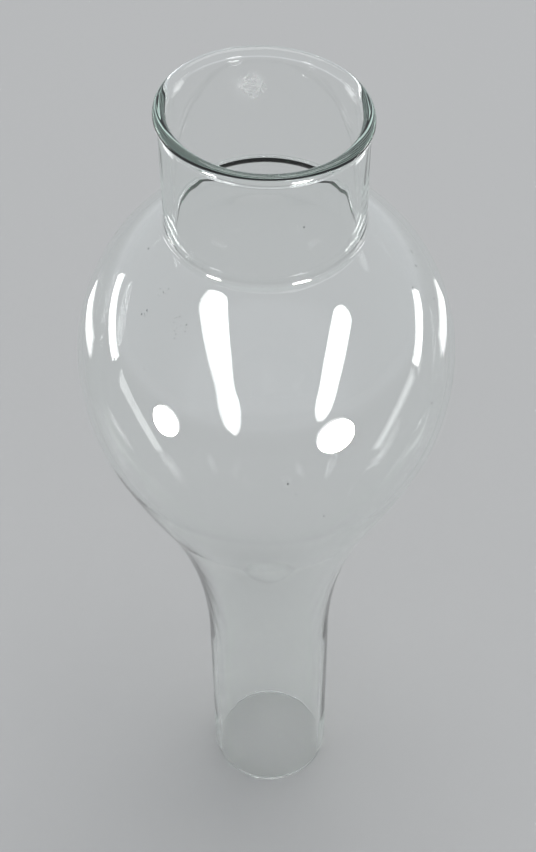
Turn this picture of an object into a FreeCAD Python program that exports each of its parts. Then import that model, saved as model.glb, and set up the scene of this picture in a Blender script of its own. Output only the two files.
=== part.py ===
"""Blown glass lamp chimney, open at both ends, standing on its narrow end.

One hollow of revolution about +Z, cut into the sections that a glass worker forms:
foot ring, stem, throat, flare, belly and shoulder of the bulb, collar and rim bead.
The origin is at the centre of the foot's face. All lengths are in millimetres.
"""
import FreeCAD, Part
import math
import os

from FreeCAD import Vector

# Driving dimensions
TOTAL_HEIGHT = 350.0
RIM_OUTER_R = 33.3
COLLAR_OUTER_R = 32.2
COLLAR_BORE_R = 29.2
BEAD_FILLET_R = 1.0
SHOULDER_FILLET_R = 3.0
SHOULDER_BORE_FILLET_R = 2.5
BULB_OUTER_R = 64.8
GIRTH_Z = 245.7
CROWN_ARC_R = 71.4
BELLY_ARC_R = 92.0
BELLY_ANGLE = math.radians(20.0)
TAPER_ARC_R = 400.0
TAPER_ANGLE = math.radians(25.0)
BULB_WALL = 2.2
STEM_OUTER_R = 24.7
STEM_BORE_R = 22.1
FOOT_EDGE_R = 0.8
FOOT_RING_HEIGHT = 5.0

# Derived dimensions
BEAD_R = (RIM_OUTER_R - COLLAR_BORE_R) / 2
BEAD_CENTRE_R = COLLAR_BORE_R + BEAD_R
BEAD_Z = TOTAL_HEIGHT - BEAD_R


def point(radius, height):
    """A point of the half section, in the plane Y = 0."""
    return Vector(radius, 0, height)


def polar(centre, radius, angle):
    """The point at an angle from +X on a circle in the half section."""
    return centre + Vector(radius * math.cos(angle), 0, radius * math.sin(angle))


def arc(centre, radius, start, end):
    """A circular edge from one angle to another, in radians."""
    middle = polar(centre, radius, (start + end) / 2)
    return Part.Arc(polar(centre, radius, start), middle, polar(centre, radius, end)).toShape()


def line(start, end):
    return Part.LineSegment(start, end).toShape()


def blend_to_tube(centre, radius, tube_r, fillet_r, side):
    """Fillet between a circle and the tube wall beside it.

    side is +1 where the tube leaves upwards and -1 where it leaves downwards.
    Returns the fillet's centre and the angle of its tangent point on the circle.
    """
    centre_r = tube_r + fillet_r
    rise = math.sqrt((radius + fillet_r) ** 2 - (centre_r - centre.x) ** 2)
    fillet_centre = point(centre_r, centre.z + side * rise)
    angle = math.atan2(side * rise, centre_r - centre.x)
    return fillet_centre, angle


def surface_edges(wall, stem_r, shoulder_r, collar_r):
    """Edges from the straight stem up to the straight collar, and the heights they meet at.

    Belly, taper and crown lie at the wall's depth below the outer surface. The taper is a
    flatter arc that carries the belly on, and the throat's arc closes it onto the stem.
    """
    crown_centre = point(BULB_OUTER_R - CROWN_ARC_R, GIRTH_Z)
    belly_centre = point(BULB_OUTER_R - BELLY_ARC_R, GIRTH_Z)
    taper_centre = polar(belly_centre, BELLY_ARC_R - TAPER_ARC_R, -BELLY_ANGLE)
    crown_r, belly_r, taper_r = CROWN_ARC_R - wall, BELLY_ARC_R - wall, TAPER_ARC_R - wall
    taper_end = polar(taper_centre, taper_r, -TAPER_ANGLE)
    throat_r = (taper_end.x - stem_r) / (1 - math.cos(TAPER_ANGLE))
    throat_centre = point(stem_r + throat_r, taper_end.z - throat_r * math.sin(TAPER_ANGLE))
    flare_start = polar(throat_centre, throat_r, math.pi - TAPER_ANGLE / 2)
    shoulder_centre, shoulder_angle = blend_to_tube(crown_centre, crown_r, collar_r, shoulder_r, 1)
    edges = [
        arc(throat_centre, throat_r, math.pi, math.pi - TAPER_ANGLE),
        arc(taper_centre, taper_r, -TAPER_ANGLE, -BELLY_ANGLE),
        arc(belly_centre, belly_r, -BELLY_ANGLE, 0),
        arc(crown_centre, crown_r, 0, shoulder_angle),
        arc(shoulder_centre, shoulder_r, math.pi + shoulder_angle, math.pi),
    ]
    levels = {
        "throat": throat_centre.z,
        "flare": flare_start.z,
        "taper": taper_end.z,
        "collar": shoulder_centre.z,
    }
    return edges, levels


def rim_edges(collar_z):
    """Outer collar wall, its fillet and the bead, over the rim to the bore."""
    bead_centre = point(BEAD_CENTRE_R, BEAD_Z)
    fillet_centre, angle = blend_to_tube(bead_centre, BEAD_R, COLLAR_OUTER_R, BEAD_FILLET_R, -1)
    edges = [
        line(point(COLLAR_OUTER_R, collar_z), point(COLLAR_OUTER_R, fillet_centre.z)),
        arc(fillet_centre, BEAD_FILLET_R, math.pi, math.pi + angle),
        arc(bead_centre, BEAD_R, angle, math.pi),
    ]
    return edges, fillet_centre.z


def foot_edges(bore_top, wall_top):
    """Stem bore, rounded foot and outer stem wall, from the inside round to the outside."""
    bore_edge = point(STEM_BORE_R + FOOT_EDGE_R, FOOT_EDGE_R)
    wall_edge = point(STEM_OUTER_R - FOOT_EDGE_R, FOOT_EDGE_R)
    return [
        line(point(STEM_BORE_R, bore_top), point(STEM_BORE_R, FOOT_EDGE_R)),
        arc(bore_edge, FOOT_EDGE_R, math.pi, 3 * math.pi / 2),
        line(point(bore_edge.x, 0), point(wall_edge.x, 0)),
        arc(wall_edge, FOOT_EDGE_R, -math.pi / 2, 0),
        line(point(STEM_OUTER_R, FOOT_EDGE_R), point(STEM_OUTER_R, wall_top)),
    ]


def glass_body():
    """The whole glass, revolved from its half section, and the levels to cut it at."""
    outer, outer_levels = surface_edges(0, STEM_OUTER_R, SHOULDER_FILLET_R, COLLAR_OUTER_R)
    inner, inner_levels = surface_edges(
        BULB_WALL, STEM_BORE_R, SHOULDER_BORE_FILLET_R, COLLAR_BORE_R)
    rim, bead_level = rim_edges(outer_levels["collar"])
    bore = line(point(COLLAR_BORE_R, BEAD_Z), point(COLLAR_BORE_R, inner_levels["collar"]))
    foot = foot_edges(inner_levels["throat"], outer_levels["throat"])
    edges = foot + outer + rim + [bore] + inner
    wire = Part.Wire(Part.__sortEdges__(edges))
    body = Part.Face(wire).revolve(Vector(0, 0, 0), Vector(0, 0, 1), 360)
    collar_level = max(outer_levels["collar"], inner_levels["collar"])
    levels = [
        ("foot_ring", 0.0),
        ("stem", FOOT_RING_HEIGHT),
        ("throat", outer_levels["throat"]),
        ("flare", outer_levels["flare"]),
        ("bulb_belly", outer_levels["taper"]),
        ("bulb_shoulder", GIRTH_Z),
        ("collar", collar_level),
        ("rim_bead", bead_level),
    ]
    print("levels", levels)
    print("inner levels", inner_levels)
    return body, levels


def section(body, low, high):
    """The ring of glass between two heights."""
    slab = Part.makeCylinder(2 * BULB_OUTER_R, high - low, Vector(0, 0, low))
    ring = body.common(slab).removeSplitter()
    return ring.Solids[0]


def main():
    os.makedirs("parts", exist_ok=True)
    body, levels = glass_body()
    tops = [low for _, low in levels[1:]] + [TOTAL_HEIGHT]
    for (name, low), high in zip(levels, tops):
        ring = section(body, low, high)
        ring.exportStep(f"parts/{name}.step")
        print(name, round(low, 3), round(high, 3), round(ring.Volume), ring.isValid())
    print("whole", round(body.Volume), body.BoundBox)


main()
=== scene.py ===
"""Looks for the blown glass chimney: one clear glass body with a slight green tint, on a plain pale floor.

All lengths are in metres. The glass is a closed wall revolved about +Z, with the small irregularities of
hand work: a leaning axis, a rim out of true, an uneven wall, seeds and a ground foot.
"""

import math
import random

import bmesh
import bpy
from mathutils import Matrix, Vector, noise


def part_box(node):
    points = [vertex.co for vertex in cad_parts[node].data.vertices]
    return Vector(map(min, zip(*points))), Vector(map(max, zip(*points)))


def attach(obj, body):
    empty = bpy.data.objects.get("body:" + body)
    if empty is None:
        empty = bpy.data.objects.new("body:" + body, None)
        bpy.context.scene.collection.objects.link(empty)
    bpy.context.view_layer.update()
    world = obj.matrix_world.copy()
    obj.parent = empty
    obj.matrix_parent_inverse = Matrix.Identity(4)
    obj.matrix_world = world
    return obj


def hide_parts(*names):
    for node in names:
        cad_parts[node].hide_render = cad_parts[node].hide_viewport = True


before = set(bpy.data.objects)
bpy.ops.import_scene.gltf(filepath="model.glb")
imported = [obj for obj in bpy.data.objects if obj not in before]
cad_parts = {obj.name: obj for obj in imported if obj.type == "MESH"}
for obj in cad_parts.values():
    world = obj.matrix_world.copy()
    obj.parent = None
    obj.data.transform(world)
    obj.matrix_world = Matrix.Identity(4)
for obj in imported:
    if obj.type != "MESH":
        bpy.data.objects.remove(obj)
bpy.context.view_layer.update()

MM = 0.001
SEED = 11

# Sizes read from the frame
_, STEM_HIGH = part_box("stem")
_, BELLY_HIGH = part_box("bulb_belly")
COLLAR_LOW, COLLAR_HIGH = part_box("collar")
_, RIM_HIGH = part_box("rim_bead")
HEIGHT = RIM_HIGH.z
RIM_R = RIM_HIGH.x
COLLAR_R = COLLAR_HIGH.x
BULB_R = BELLY_HIGH.x
STEM_R = STEM_HIGH.x
GIRTH_Z = BELLY_HIGH.z

# The wall's half section
BULB_WALL = 2.2 * MM
STEM_WALL = 2.6 * MM
COLLAR_WALL = 3.0 * MM
CROWN_ARC_R = 71.4 * MM
BELLY_ARC_R = 92.0 * MM
BELLY_ANGLE = math.radians(20.0)
TAPER_ARC_R = 400.0 * MM
TAPER_ANGLE = math.radians(25.0)
SHOULDER_FILLET_R = 3.0 * MM
SHOULDER_BORE_FILLET_R = 2.5 * MM
BEAD_FILLET_R = 1.0 * MM
FOOT_EDGE_R = 0.8 * MM
BEAD_R = (RIM_R - COLLAR_R + COLLAR_WALL) / 2
BEAD_Z = HEIGHT - BEAD_R

# Mesh density
AROUND = 224
ROW_STEP = 2.0 * MM
TIGHT_ARC_STEP = math.radians(12.0)

# Hand-made irregularities
LEAN_AT_RIM = -0.5 * MM
RIM_TILT = math.radians(2.6)
WALL_UNEVEN = 0.16 * MM
SURFACE_WAVE = 0.05 * MM
SEED_COUNT = 26
SEED_CLUSTERS = (  # bearing, rise, count, spread, all in degrees, and the largest radius
    (-52, 49.0, 5, 0.9, 0.30 * MM),
    (-53, 40.5, 5, 0.7, 0.36 * MM),
    (-36, 43.0, 14, 2.0, 0.16 * MM),
)
SMUDGE_PLACE = (-4.1 * MM, 29.0 * MM, 335.5 * MM)


def polar(centre, radius, angle):
    """The point at an angle from +X on a circle in the half section (radius, height)."""
    return centre[0] + radius * math.cos(angle), centre[1] + radius * math.sin(angle)


def arc_points(centre, radius, start, end):
    """Points along an arc, without its last one, spaced for its size."""
    step = min(TIGHT_ARC_STEP, ROW_STEP / radius) if radius > 0.01 else TIGHT_ARC_STEP
    count = max(2, math.ceil(abs(end - start) / step))
    return [polar(centre, radius, start + (end - start) * i / count) for i in range(count)]


def line_points(start, end):
    """Points along a line, without its last one."""
    count = max(1, math.ceil(math.dist(start, end) / ROW_STEP))
    return [
        (start[0] + (end[0] - start[0]) * i / count, start[1] + (end[1] - start[1]) * i / count)
        for i in range(count)
    ]


def fillet_to_tube(centre, radius, tube_r, fillet_r, side):
    """Centre of the fillet between a circle and a tube wall, and its tangent's angle on the circle."""
    across = tube_r + fillet_r - centre[0]
    rise = math.sqrt((radius + fillet_r) ** 2 - across**2)
    return (tube_r + fillet_r, centre[1] + side * rise), math.atan2(side * rise, across)


def side_points(wall, stem_r, fillet_r, collar_r):
    """One side of the wall, from the top of the straight stem to the foot of the collar."""
    crown_centre = (BULB_R - CROWN_ARC_R, GIRTH_Z)
    belly_centre = (BULB_R - BELLY_ARC_R, GIRTH_Z)
    taper_centre = polar(belly_centre, BELLY_ARC_R - TAPER_ARC_R, -BELLY_ANGLE)
    taper_end = polar(taper_centre, TAPER_ARC_R - wall, -TAPER_ANGLE)
    throat_r = (taper_end[0] - stem_r) / (1 - math.cos(TAPER_ANGLE))
    throat_centre = (stem_r + throat_r, taper_end[1] - throat_r * math.sin(TAPER_ANGLE))
    fillet_centre, angle = fillet_to_tube(crown_centre, CROWN_ARC_R - wall, collar_r, fillet_r, 1)
    points = arc_points(throat_centre, throat_r, math.pi, math.pi - TAPER_ANGLE)
    points += arc_points(taper_centre, TAPER_ARC_R - wall, -TAPER_ANGLE, -BELLY_ANGLE)
    points += arc_points(belly_centre, BELLY_ARC_R - wall, -BELLY_ANGLE, 0)
    points += arc_points(crown_centre, CROWN_ARC_R - wall, 0, angle)
    points += arc_points(fillet_centre, fillet_r, math.pi + angle, math.pi)
    points.append((collar_r, fillet_centre[1]))
    return points


def half_section():
    """The closed outline of the wall, up the outside, over the bead and down the inside.

    Each point is (radius, height, side), where side is 1 outside, -1 inside and 0 at the ends.
    """
    bore_r = STEM_R - STEM_WALL
    collar_bore_r = COLLAR_R - COLLAR_WALL
    outside = side_points(0, STEM_R, SHOULDER_FILLET_R, COLLAR_R)
    inside = side_points(BULB_WALL, bore_r, SHOULDER_BORE_FILLET_R, collar_bore_r)
    outer_edge = (STEM_R - FOOT_EDGE_R, FOOT_EDGE_R)
    inner_edge = (bore_r + FOOT_EDGE_R, FOOT_EDGE_R)
    bead_centre = (COLLAR_R - COLLAR_WALL + BEAD_R, BEAD_Z)
    fillet_centre, angle = fillet_to_tube(bead_centre, BEAD_R, COLLAR_R, BEAD_FILLET_R, -1)
    collar_foot = outside.pop()
    bore_foot = inside.pop()
    outline = arc_points(outer_edge, FOOT_EDGE_R, -math.pi / 2, 0)
    outline += line_points((STEM_R, FOOT_EDGE_R), outside[0])
    outline += outside
    outline += line_points(collar_foot, (COLLAR_R, fillet_centre[1]))
    outline += arc_points(fillet_centre, BEAD_FILLET_R, math.pi, math.pi + angle)
    outline += arc_points(bead_centre, BEAD_R, angle, math.pi)
    down = line_points((collar_bore_r, BEAD_Z), bore_foot)
    down.append(bore_foot)
    down += inside[::-1]
    down += line_points(inside[0], (bore_r, FOOT_EDGE_R))[1:]
    down += arc_points(inner_edge, FOOT_EDGE_R, math.pi, 3 * math.pi / 2)
    down.append((inner_edge[0], 0.0))
    return [(r, z, 1) for r, z in outline] + [(r, z, -1) for r, z in down]


def smooth_step(low, high, value):
    t = min(max((value - low) / (high - low), 0.0), 1.0)
    return t * t * (3 - 2 * t)


def hand_made(radius, height, side, angle):
    """Where a point of the true section lies on the real, slightly uneven glass."""
    c, s = math.cos(angle), math.sin(angle)
    free = smooth_step(4 * MM, 30 * MM, height) * (1 - smooth_step(BEAD_Z - 12 * MM, BEAD_Z, height))
    around = Vector((c * 1.3, s * 1.3, height * 9.0))
    uneven = noise.noise(around + Vector((3.1, 0.7, 5.2)))
    wave = noise.noise(around * 2.6 + Vector((9.4, 2.2, 1.3))) - 0.9
    wave += 0.5 * noise.noise(around * 5.5 + Vector((1.7, 8.2, 4.3)))
    if side > 0:
        radius += free * SURFACE_WAVE * wave
    else:
        radius += free * (WALL_UNEVEN * uneven + SURFACE_WAVE * wave)
    lean = LEAN_AT_RIM * height / HEIGHT
    radius -= abs(lean) * (radius / BULB_R) ** 4
    x, y, z = radius * c, radius * s, height
    tilted = smooth_step(COLLAR_LOW.z + 4 * MM, BEAD_Z, height)
    z -= tilted * math.tan(RIM_TILT) * (x + RIM_R)
    return Vector((x + lean, y, z))


def build_wall(mesh):
    """Adds the revolved wall, one closed surface, to the mesh."""
    outline = half_section()
    rings = []
    for i in range(AROUND):
        angle = math.tau * i / AROUND
        rings.append([mesh.verts.new(hand_made(r, z, side, angle)) for r, z, side in outline])
    count = len(outline)
    for i in range(AROUND):
        here, there = rings[i], rings[(i + 1) % AROUND]
        for j in range(count):
            k = (j + 1) % count
            mesh.faces.new((here[j], there[j], there[k], here[k]))


def add_seed(mesh, angle, rise, size, stretch):
    """Adds one tiny air bubble in the middle of the bulb's wall, as a void drawn out along the blow."""
    upper = rise > 0
    arc_r = CROWN_ARC_R if upper else BELLY_ARC_R
    radius, height = polar((BULB_R - arc_r, GIRTH_Z), arc_r - BULB_WALL / 2, rise)
    place = hand_made(radius, height, 1, angle)
    turn = Matrix.Rotation(angle, 4, "Z") @ Matrix.Rotation(-rise, 4, "Y")
    grow = Matrix.Diagonal((size, size, size * stretch, 1))
    made = bmesh.ops.create_icosphere(
        mesh, subdivisions=2, radius=1, matrix=Matrix.Translation(place) @ turn @ grow)
    faces = {face for vert in made["verts"] for face in vert.link_faces}
    bmesh.ops.reverse_faces(mesh, faces=list(faces))


def build_seeds(mesh):
    """Adds single seeds over the whole bulb and the clusters on its front left shoulder."""
    rng = random.Random(SEED)
    for _ in range(SEED_COUNT):
        add_seed(mesh, rng.uniform(0, math.tau), rng.uniform(-0.35, 0.72),
                 rng.uniform(0.10, 0.30) * MM, rng.uniform(1.2, 3.0))
    for bearing, rise, count, spread, largest_r in SEED_CLUSTERS:
        for _ in range(count):
            angle = math.radians(bearing - 90 + rng.gauss(0, spread))
            add_seed(mesh, angle, math.radians(rise + rng.gauss(0, spread)),
                     rng.uniform(0.4, 1.0) * largest_r, rng.uniform(1.0, 1.8))


def new_object(name, mesh):
    data = bpy.data.meshes.new(name)
    mesh.to_mesh(data)
    mesh.free()
    for polygon in data.polygons:
        polygon.use_smooth = True
    piece = bpy.data.objects.new(name, data)
    bpy.context.scene.collection.objects.link(piece)
    return piece


def remap(tree, value, low, high, at_low, at_high):
    """A value taken from one range to another, clamped at both ends."""
    node = tree.nodes.new("ShaderNodeMapRange")
    node.inputs["From Min"].default_value = low
    node.inputs["From Max"].default_value = high
    node.inputs["To Min"].default_value = at_low
    node.inputs["To Max"].default_value = at_high
    tree.links.new(value, node.inputs["Value"])
    return node.outputs["Result"]


def noise_value(tree, place, scale, detail, roughness):
    node = tree.nodes.new("ShaderNodeTexNoise")
    node.inputs["Scale"].default_value = scale
    node.inputs["Detail"].default_value = detail
    node.inputs["Roughness"].default_value = roughness
    tree.links.new(place, node.inputs["Vector"])
    return node.outputs["Fac"]


def largest(tree, first, second):
    node = tree.nodes.new("ShaderNodeMath")
    node.operation = "MAXIMUM"
    tree.links.new(first, node.inputs[0])
    tree.links.new(second, node.inputs[1])
    return node.outputs["Value"]


def glass_material():
    """Clear glass: green only by depth, faint wipe marks, a smudge in the collar and a rougher ground foot."""
    material = bpy.data.materials.new("clear_glass")
    material.use_nodes = True
    tree = material.node_tree
    tree.nodes.clear()
    out = tree.nodes.new("ShaderNodeOutputMaterial")
    surface = tree.nodes.new("ShaderNodeBsdfPrincipled")
    surface.inputs["Base Color"].default_value = (1, 1, 1, 1)
    surface.inputs["Transmission Weight"].default_value = 1.0
    surface.inputs["IOR"].default_value = 1.52
    tree.links.new(surface.outputs["BSDF"], out.inputs["Surface"])

    depth = tree.nodes.new("ShaderNodeVolumeAbsorption")
    depth.inputs["Color"].default_value = (0.70, 0.95, 0.84, 1)
    depth.inputs["Density"].default_value = 17.0
    tree.links.new(depth.outputs["Volume"], out.inputs["Volume"])

    place = tree.nodes.new("ShaderNodeTexCoord").outputs["Object"]
    wipes = remap(tree, noise_value(tree, place, 22.0, 5.0, 0.62), 0.56, 0.80, 0.0, 0.10)
    split = tree.nodes.new("ShaderNodeSeparateXYZ")
    tree.links.new(place, split.inputs["Vector"])
    foot = remap(tree, split.outputs["Z"], 0.1 * MM, 0.9 * MM, 0.35, 0.0)
    reach = tree.nodes.new("ShaderNodeVectorMath")
    reach.operation = "DISTANCE"
    reach.inputs[1].default_value = SMUDGE_PLACE
    tree.links.new(place, reach.inputs[0])
    near = remap(tree, reach.outputs["Value"], 9 * MM, 2 * MM, 0.0, 0.5)
    smudge = tree.nodes.new("ShaderNodeMath")
    smudge.operation = "MULTIPLY"
    tree.links.new(near, smudge.inputs[0])
    tree.links.new(remap(tree, noise_value(tree, place, 240.0, 8.0, 0.75), 0.40, 0.62, 0.0, 1.0), smudge.inputs[1])
    rough = largest(tree, largest(tree, wipes, foot), smudge.outputs["Value"])
    tree.links.new(rough, surface.inputs["Roughness"])
    return material


def build_glass():
    mesh = bmesh.new()
    build_wall(mesh)
    build_seeds(mesh)
    glass = new_object("chimney_glass", mesh)
    glass.data.materials.append(glass_material())
    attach(glass, "root")
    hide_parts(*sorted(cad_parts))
    return glass


# Floor, light and camera
FLOOR_SIZE = 80.0
FLOOR_GAP = 0.1 * MM
FADE_START = 0.8
FADE_END = 3.2
FLOOR_COLOUR = (0.46, 0.458, 0.45, 1)
FAR_FLOOR_COLOUR = (0.96, 0.96, 0.96, 1)
WORLD_COLOUR = (0.60, 0.62, 0.65, 1)
WORLD_STRENGTH = 1.22
TARGET = Vector((0, 0, 0.25))
LAMPS = (  # name, bearing, distance from the axis, height, width, length
    ("lamp_left", -52.5, 0.40, 0.17, 0.106, 0.102),
    ("lamp_right", 35.0, 0.455, 0.15, 0.162, 0.140),
)
LAMP_RADIANCE = 120.0
BARS = (("bar_left", -1.0, 0.34, 0.15, 0.57), ("bar_right", 1.0, 0.25, 0.13, 0.50))  # name, x, y, z, length
BAR_RADIANCE = 9.0
BAR_WIDTH = 0.08
BAR_SLANT = math.radians(24)
RIM_LIGHTS = (("rim_left", -0.36), ("rim_right", 0.36))  # name, x
RIM_RADIANCE = 2.2
RIM_LENGTH = 0.18
RIM_WIDTH = 0.06
FLOOR_SHARE = 0.2
OVERHEAD_SIZE = 1.8
OVERHEAD_POWER = 20.0
CAMERA_PLACE = Vector((0, -0.3862, 0.6365))
CAMERA_PITCH = math.radians(-47.954)
CAMERA_ROLL = math.radians(-0.36)
CAMERA_LENS = 67.58


def plain_material(name, colour, roughness):
    material = bpy.data.materials.new(name)
    material.use_nodes = True
    surface = material.node_tree.nodes["Principled BSDF"]
    surface.inputs["Base Color"].default_value = colour
    surface.inputs["Roughness"].default_value = roughness
    return material


def build_floor():
    """A wide floor that pales with distance, so that it meets the bright room without a horizon line."""
    mesh = bmesh.new()
    bmesh.ops.create_grid(mesh, x_segments=2, y_segments=2, size=FLOOR_SIZE / 2)
    floor = new_object("floor", mesh)
    material = plain_material("floor", FLOOR_COLOUR, 0.9)
    tree = material.node_tree
    place = tree.nodes.new("ShaderNodeTexCoord")
    away = tree.nodes.new("ShaderNodeVectorMath")
    away.operation = "LENGTH"
    tree.links.new(place.outputs["Object"], away.inputs[0])
    fade = tree.nodes.new("ShaderNodeMapRange")
    fade.interpolation_type = "SMOOTHSTEP"
    fade.inputs["From Min"].default_value = FADE_START
    fade.inputs["From Max"].default_value = FADE_END
    tree.links.new(away.outputs["Value"], fade.inputs["Value"])
    tone = tree.nodes.new("ShaderNodeMix")
    tone.data_type = "RGBA"
    tone.inputs["A"].default_value = FLOOR_COLOUR
    tone.inputs["B"].default_value = FAR_FLOOR_COLOUR
    tree.links.new(fade.outputs["Result"], tone.inputs["Factor"])
    tree.links.new(tone.outputs["Result"], tree.nodes["Principled BSDF"].inputs["Base Color"])
    floor.data.materials.append(material)
    floor.location.z = -FLOOR_GAP


def soft_light(name, place, width, height, power, shape):
    """A soft box that faces the glass."""
    data = bpy.data.lights.new(name, "AREA")
    data.shape = shape
    data.size = width
    data.size_y = height
    data.energy = power
    light = bpy.data.objects.new(name, data)
    light.location = place
    light.rotation_euler = (TARGET - place).to_track_quat("-Z", "Y").to_euler()
    light.visible_camera = False
    bpy.context.scene.collection.objects.link(light)
    return light


def lamp_place(bearing, distance, height):
    """A place by its distance from the axis: bearing 0 is towards -Y, positive to the right."""
    b = math.radians(bearing)
    return Vector((distance * math.sin(b), -distance * math.cos(b), height))


def show_in_reflections(lamp, receivers):
    """Lets only the receivers see a lamp, and only as a reflection, never straight through the glass.

    A small share still comes through the glass to the floor, so the foot's inside isn't in shade.
    """
    lamp.light_linking.receiver_collection = receivers
    lamp.data.use_nodes = True
    tree = lamp.data.node_tree
    path = tree.nodes.new("ShaderNodeLightPath")
    mirrored = tree.nodes.new("ShaderNodeMath")
    mirrored.operation = "GREATER_THAN"
    mirrored.inputs[1].default_value = 0.5
    tree.links.new(path.outputs["Glossy Depth"], mirrored.inputs[0])
    share = tree.nodes.new("ShaderNodeMath")
    share.operation = "MULTIPLY"
    share.inputs[1].default_value = FLOOR_SHARE
    tree.links.new(path.outputs["Diffuse Depth"], share.inputs[0])
    strength = largest(tree, mirrored.outputs["Value"], share.outputs["Value"])
    tree.links.new(strength, tree.nodes["Emission"].inputs["Strength"])


def build_lights(glass):
    """Lamps, slanted bars and low rim lights that only show on the glass, and a soft, even room."""
    on_glass = bpy.data.collections.new("seen_by_glass")
    on_glass.objects.link(glass)
    for name, bearing, distance, height, width, length in LAMPS:
        power = LAMP_RADIANCE * math.pi * math.pi * width * length / 4
        lamp = soft_light(name, lamp_place(bearing, distance, height), width, length, power, "ELLIPSE")
        show_in_reflections(lamp, on_glass)
    for name, x, y, z, length in BARS:
        power = BAR_RADIANCE * math.pi * length * BAR_WIDTH
        bar = soft_light(name, Vector((x, y, z)), length, BAR_WIDTH, power, "RECTANGLE")
        bar.rotation_euler.rotate_axis("Z", math.copysign(BAR_SLANT, x))
        show_in_reflections(bar, on_glass)
    for name, x in RIM_LIGHTS:
        power = RIM_RADIANCE * math.pi * RIM_LENGTH * RIM_WIDTH
        rim = soft_light(name, Vector((x, 0.27, 0.05)), RIM_LENGTH, RIM_WIDTH, power, "RECTANGLE")
        show_in_reflections(rim, on_glass)
    soft_light("overhead", Vector((0.3, 0.6, 2.4)), OVERHEAD_SIZE, OVERHEAD_SIZE, OVERHEAD_POWER, "RECTANGLE")
    world = bpy.data.worlds.new("studio")
    world.use_nodes = True
    background = world.node_tree.nodes["Background"]
    background.inputs["Color"].default_value = WORLD_COLOUR
    background.inputs["Strength"].default_value = WORLD_STRENGTH
    bpy.context.scene.world = world


def build_camera():
    data = bpy.data.cameras.new("camera")
    data.sensor_width = 36.0
    data.lens = CAMERA_LENS
    camera = bpy.data.objects.new("camera", data)
    level = Matrix.Rotation(math.radians(90) + CAMERA_PITCH, 4, "X")
    camera.matrix_world = Matrix.Translation(CAMERA_PLACE) @ level @ Matrix.Rotation(CAMERA_ROLL, 4, "Z")
    bpy.context.scene.collection.objects.link(camera)
    bpy.context.scene.camera = camera


build_camera()
glass = build_glass()
build_floor()
build_lights(glass)
bpy.context.scene.view_settings.view_transform = "Standard"
bpy.context.scene.cycles.max_bounces = 96
bpy.context.scene.cycles.transmission_bounces = 96
bpy.context.scene.cycles.glossy_bounces = 12
